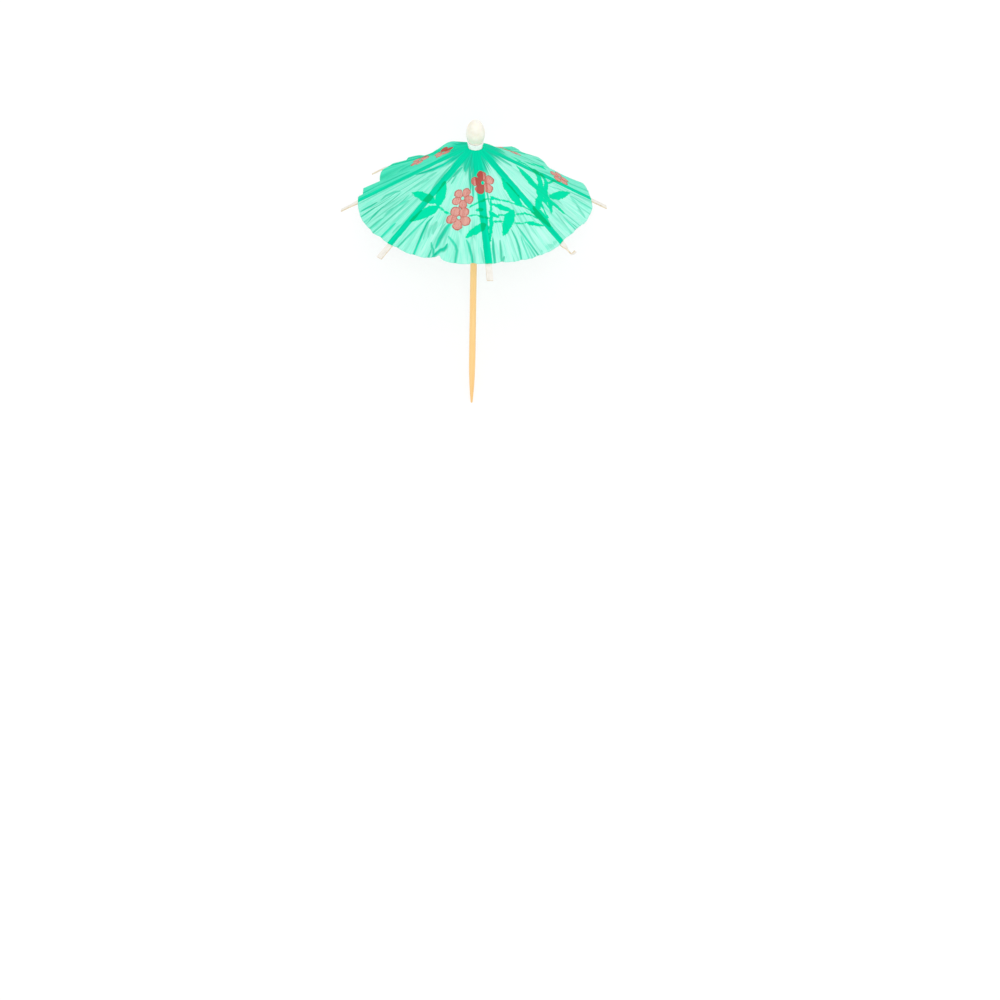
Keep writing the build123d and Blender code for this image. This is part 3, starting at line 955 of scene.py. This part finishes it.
def make_gore(number):
    """The stretch of the sheet that one rib carries, half-way to each neighbour."""
    bm = bmesh.new()
    bmesh.ops.create_grid(bm, x_segments=gore_columns, y_segments=gore_rows, size=0.5)
    mesh = bpy.data.meshes.new(f"canopy_paper_{number + 1}")
    bm.to_mesh(mesh)
    bm.free()
    corners = np.zeros(len(mesh.vertices) * 3)
    mesh.vertices.foreach_get("co", corners)
    corners = corners.reshape(-1, 3)
    before = np.mod(rib_angles[number] - rib_angles[number - 1], 360) / 2
    after = np.mod(rib_angles[(number + 1) % rib_count] - rib_angles[number], 360) / 2
    angle = rib_angles[number] - before + (before + after) * (0.5 - corners[:, 0])
    share = corners[:, 1] + 0.5
    radius = paper_inner + (sheet.rim(angle) - paper_inner) * share
    fallen = radius * tan(radians(rib_slope)) + sheet.hang(angle, radius)
    height = paper_peak - fallen + sheet.rise(angle, radius)
    pulled_in = np.sqrt(np.maximum((radius / cos(radians(rib_slope))) ** 2 - fallen**2, paper_inner**2))
    level = np.radians(angle)
    placed = np.stack([pulled_in * np.cos(level), pulled_in * np.sin(level), height], axis=1)
    mesh.vertices.foreach_set("co", (placed * mm).ravel())
    for name in ("dye", "bay_depth", "rib_shade_band", "petal_ink", "leaf_ink"):
        layer = mesh.attributes.new(name, "FLOAT", "POINT")
        layer.data.foreach_set("value", getattr(sheet, name)(angle, radius).astype(np.float32))
    corner_vertex = np.zeros(len(mesh.loops), dtype=np.int32)
    mesh.loops.foreach_get("vertex_index", corner_vertex)
    flat_place = np.stack([angle / streak_turn, radius / paper_rim], axis=1)[corner_vertex]
    mesh.uv_layers.new(name="flat_sheet").data.foreach_set("uv", flat_place.astype(np.float32).ravel())
    mesh.polygons.foreach_set("use_smooth", np.ones(len(mesh.polygons), dtype=bool))
    mesh.materials.append(tissue)
    mesh.update()
    piece = bpy.data.objects.new(f"canopy_paper_{number + 1}", mesh)
    bpy.context.scene.collection.objects.link(piece)
    thick = piece.modifiers.new("thickness", "SOLIDIFY")
    thick.thickness = paper_thickness * mm
    thick.offset = -1.0
    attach(piece, f"rib_{number + 1}")
    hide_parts(f"canopy_gore_{number + 1}")
    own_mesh(piece)


for number in range(rib_count):
    make_gore(number)


# Bead. A cream plastic bead, waxy and a little uneven, pushed and glued on the top of the stick.
# Its foot sits in the collar's cup and holds the canopy down.
bead_cream = (241, 238, 227)
bead_shade = (230, 225, 208)
bead_glow = 0.25
bead_glow_colours = (1.0, 0.85, 0.6)
bead_glow_depth = 1.2 * mm

bead_plastic, tree, shader = start_finish("bead_plastic", 0.42)
place = object_place(tree)
wax = noise(tree, place, 420, 3.0, 0.55)
skin = noise(tree, place, 2600, 3.0, 0.6)
tree.links.new(
    mixed(tree, between(tree, wax, 0.35, 0.72, 0.0, 0.7), bead_cream, bead_shade),
    shader.inputs["Base Color"],
)
tree.links.new(between(tree, skin, 0.3, 0.7, 0.36, 0.52), shader.inputs["Roughness"])
shader.inputs["Subsurface Weight"].default_value = bead_glow
shader.inputs["Subsurface Radius"].default_value = bead_glow_colours
shader.inputs["Subsurface Scale"].default_value = bead_glow_depth
roughen(tree, shader, combine(tree, "ADD", wax, combine(tree, "MULTIPLY", skin, 0.3)), 0.06 * mm, 0.4)
dress(nodes["finial_bead"], bead_plastic)


# Table, light and camera. The umbrella lies on a white table, on the stick's point and a back rib, and
# is seen from straight above the table, so the table is a plane tilted to the stick.
view_azimuth = radians(-7.14)
view_elevation = radians(29.49)
view_roll = radians(0.86)
view_distance = 1.4
pixels_per_metre = 3254.0
picture_width = 1000
sensor_width = 36.0
seen_point = Vector((0, 0, 0.060))
seen_pixel = (474.05, 235.97)
table_tilt = radians(30.6)
table_size = 4.0
table_grey = (176, 173, 175)
table_glow = 0.56
world_strength = 1.05
key_energy = 5.5
key_size = 0.40
key_distance = 2.2
key_place = (radians(-6.0), radians(31.5))


def towards(azimuth, elevation):
    """Direction from the object to a watcher at this azimuth and elevation."""
    level = cos(elevation)
    return Vector((sin(azimuth) * level, -cos(azimuth) * level, sin(elevation)))


bm = bmesh.new()
bmesh.ops.create_grid(bm, x_segments=1, y_segments=1, size=table_size / 2)
lie = towards(view_azimuth, table_tilt).to_track_quat("Z", "Y").to_matrix().to_4x4()
bmesh.ops.transform(bm, matrix=lie, verts=bm.verts)
mesh = bpy.data.meshes.new("table")
bm.to_mesh(mesh)
bm.free()
table = bpy.data.objects.new("table", mesh)
bpy.context.scene.collection.objects.link(table)
table_finish, tree, shader = start_finish("table_white", 0.9)
shader.inputs["Base Color"].default_value = linear(*table_grey)
shader.inputs["Specular IOR Level"].default_value = 0.0
shader.inputs["Emission Color"].default_value = (1.0, 1.0, 1.0, 1.0)
shader.inputs["Emission Strength"].default_value = table_glow
path = put(tree, "ShaderNodeLightPath")
seen = combine(tree, "MAXIMUM", path.outputs["Is Camera Ray"], path.outputs["Is Glossy Ray"])
behind = put(tree, "ShaderNodeNewGeometry").outputs["Backfacing"]
seen = combine(tree, "MULTIPLY", seen, combine(tree, "SUBTRACT", 1.0, behind))
clear = put(tree, "ShaderNodeBsdfTransparent")
shown = put(tree, "ShaderNodeMixShader", {0: seen, 1: clear.outputs["BSDF"], 2: shader.outputs["BSDF"]})
tree.links.new(shown.outputs["Shader"], tree.nodes["Material Output"].inputs["Surface"])
mesh.materials.append(table_finish)

world = bpy.data.worlds.new("white_room")
world.use_nodes = True
bpy.context.scene.world = world
tree = world.node_tree
path = put(tree, "ShaderNodeLightPath")
seen = combine(tree, "MAXIMUM", path.outputs["Is Camera Ray"], path.outputs["Is Glossy Ray"])
strength = put(
    tree,
    "ShaderNodeMapRange",
    {"Value": seen, "From Min": 0.0, "From Max": 1.0, "To Min": world_strength, "To Max": 1.0},
).outputs["Result"]
tree.links.new(strength, tree.nodes["Background"].inputs["Strength"])
tree.nodes["Background"].inputs["Color"].default_value = (1.0, 1.0, 1.0, 1.0)

lamp = bpy.data.lights.new("key_light", "AREA")
lamp.energy = key_energy
lamp.size = key_size
key = bpy.data.objects.new("key_light", lamp)
key.location = seen_point + towards(*key_place) * key_distance
key.rotation_euler = towards(*key_place).to_track_quat("Z", "Y").to_euler()
bpy.context.scene.collection.objects.link(key)

back = towards(view_azimuth, view_elevation)
level_right = Vector((cos(view_azimuth), sin(view_azimuth), 0))
level_up = back.cross(level_right)
right = level_right * cos(view_roll) + level_up * sin(view_roll)
up = level_up * cos(view_roll) - level_right * sin(view_roll)
off_right = (seen_pixel[0] - picture_width / 2) / pixels_per_metre
off_up = (picture_width / 2 - seen_pixel[1]) / pixels_per_metre
camera_place = seen_point + back * view_distance
aim = seen_point - right * off_right - up * off_up
camera_back = (camera_place - aim).normalized()
camera_right = up.cross(camera_back).normalized()
camera_up = camera_back.cross(camera_right)
lens = bpy.data.cameras.new("camera")
lens.sensor_width = sensor_width
lens.lens = sensor_width * view_distance * pixels_per_metre / picture_width
camera = bpy.data.objects.new("camera", lens)
turned = Matrix((camera_right, camera_up, camera_back)).transposed()
camera.matrix_world = Matrix.Translation(camera_place) @ turned.to_4x4()
bpy.context.scene.collection.objects.link(camera)
bpy.context.scene.camera = camera
bpy.context.scene.view_settings.view_transform = "Standard"
